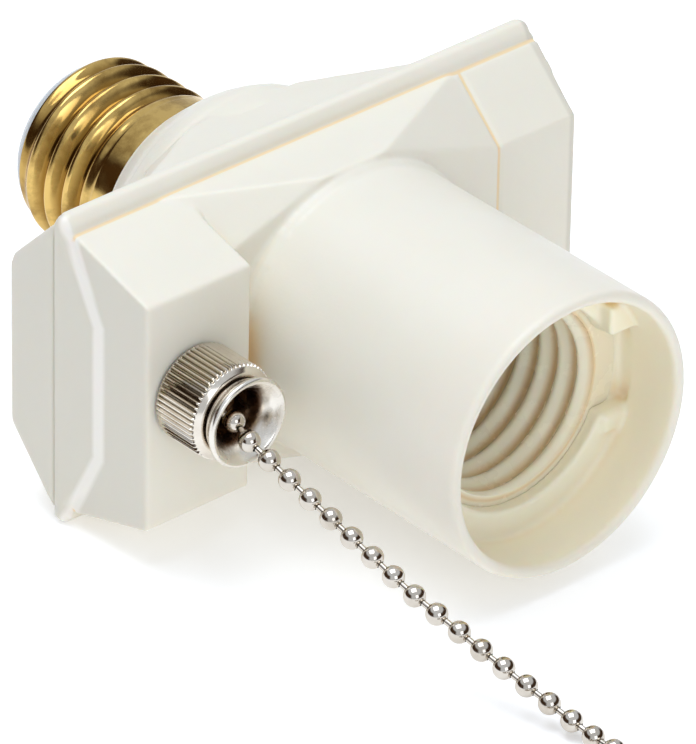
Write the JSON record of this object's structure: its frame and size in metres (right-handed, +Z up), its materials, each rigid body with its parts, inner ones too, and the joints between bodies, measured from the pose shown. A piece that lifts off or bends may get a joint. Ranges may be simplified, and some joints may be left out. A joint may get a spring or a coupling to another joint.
{
  "type": "pull cord switch",
  "caption": "Screw-in lampholder adapter with a pull-chain switch: split housing, screw base, lamp socket and a bead chain through a nickel bellmouth.",
  "frame": {"origin": "bottom centre of the box round the lampholder, without the free chain", "axes": "+Z up; +Y along the lamp axis to the screw base; -Y out of the lamp socket; -X towards the switch and chain outlet"},
  "size_m": [0.0987, 0.1642, 0.0465],
  "materials": {
    "housing_plastic": "satin ivory",
    "insert_plastic": "smooth cream",
    "base_insulator": "glossy grey white",
    "phenolic": "dark moulded",
    "nylon": "natural",
    "brass": "rolled, lightly smudged",
    "nickel": "bright nickel plate",
    "steel": "zinc plated",
    "black_wire": "wire insulation",
    "white_wire": "wire insulation"
  },
  "bodies": {
    "lampholder": {"front_housing": "housing_plastic", "rear_housing": "housing_plastic", "housing_screw_right": "steel", "housing_screw_left_upper": "steel", "housing_screw_left_lower": "steel", "base_shell": "brass", "base_insulator": "base_insulator", "base_tip_contact": "brass", "socket_thread_insert": "insert_plastic", "contact_carrier": "phenolic", "socket_centre_contact": "brass", "socket_side_contact": "brass", "centre_contact_rivet": "brass", "side_contact_rivet": "brass", "switch_bushing": "brass", "knurled_nut": "nickel", "chain_bellmouth": "nickel", "switch_capsule": "phenolic", "switch_cover": "phenolic", "capsule_rivet_upper": "brass", "capsule_rivet_lower": "brass", "fixed_contact_in": "brass", "fixed_contact_out": "brass", "switch_axle": "steel", "return_spring": "steel", "detent_spring": "steel", "live_wire": "black_wire", "switched_wire": "black_wire", "neutral_wire": "white_wire"},
    "chain": {"inner_chain": "nickel", "pull_chain": "nickel", "pull_chain_coil": "nickel", "chain_pull_end": "nickel"},
    "pulley": {"chain_pulley": "nylon", "wound_chain": "nickel", "drive_pawl": "steel"},
    "rotor": {"ratchet_wheel": "nylon", "rotor_contact": "brass"}
  },
  "joints": [
    {"name": "chain_pull", "type": "slide", "parent": "lampholder", "child": "chain", "axis": [0, -1, 0], "range_m": [0, 0.009], "stiffness_N_per_m": 300, "springref_m": -0.005},
    {"name": "pulley_turn", "type": "hinge", "parent": "lampholder", "child": "pulley", "pos_m": [-0.0315, -0.00015, 0.01975], "axis": [1, 0, 0], "range_deg": [0, 94]},
    {"name": "ratchet_turn", "type": "hinge", "parent": "lampholder", "child": "rotor", "pos_m": [-0.0275, -0.00015, 0.01975], "axis": [1, 0, 0], "continuous": true}
  ],
  "couplings": [
    {"joint": "pulley_turn", "follows": "chain_pull", "rad_per_m": 181.82}
  ]
}
